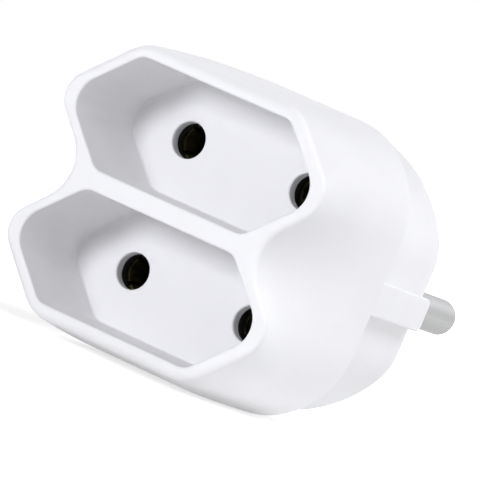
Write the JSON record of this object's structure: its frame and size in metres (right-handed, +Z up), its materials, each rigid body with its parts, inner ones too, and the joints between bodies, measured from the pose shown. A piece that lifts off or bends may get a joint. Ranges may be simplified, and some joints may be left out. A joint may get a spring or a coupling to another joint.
{
  "type": "multi socket adapter",
  "caption": "Plug-in mains adapter: hexagonal sockets for flat plugs stacked on a flared white housing, with a round insert, guide ribs and plug pins at the rear.",
  "frame": {"origin": "on the insert's rear face, midway between the plug pins", "axes": "+X across the pins, to the right seen from the sockets; +Y along the pins to the rear; +Z up, so the sockets are one above the other"},
  "size_m": [0.041, 0.0605, 0.04],
  "materials": {
    "white_plastic": "white moulded plastic, satin",
    "dark_plastic": "dark moulded insulating plastic",
    "plated_pin": "nickel-plated brass",
    "brass": "plain brass"
  },
  "bodies": {
    "root": {"socket_housing": "white_plastic", "plug_base": "white_plastic", "contact_carrier": "dark_plastic", "left_pin": "plated_pin", "right_pin": "plated_pin", "left_bus_bar": "brass", "right_bus_bar": "brass", "upper_left_contact": "brass", "upper_right_contact": "brass", "lower_left_contact": "brass", "lower_right_contact": "brass"}
  },
  "joints": []
}
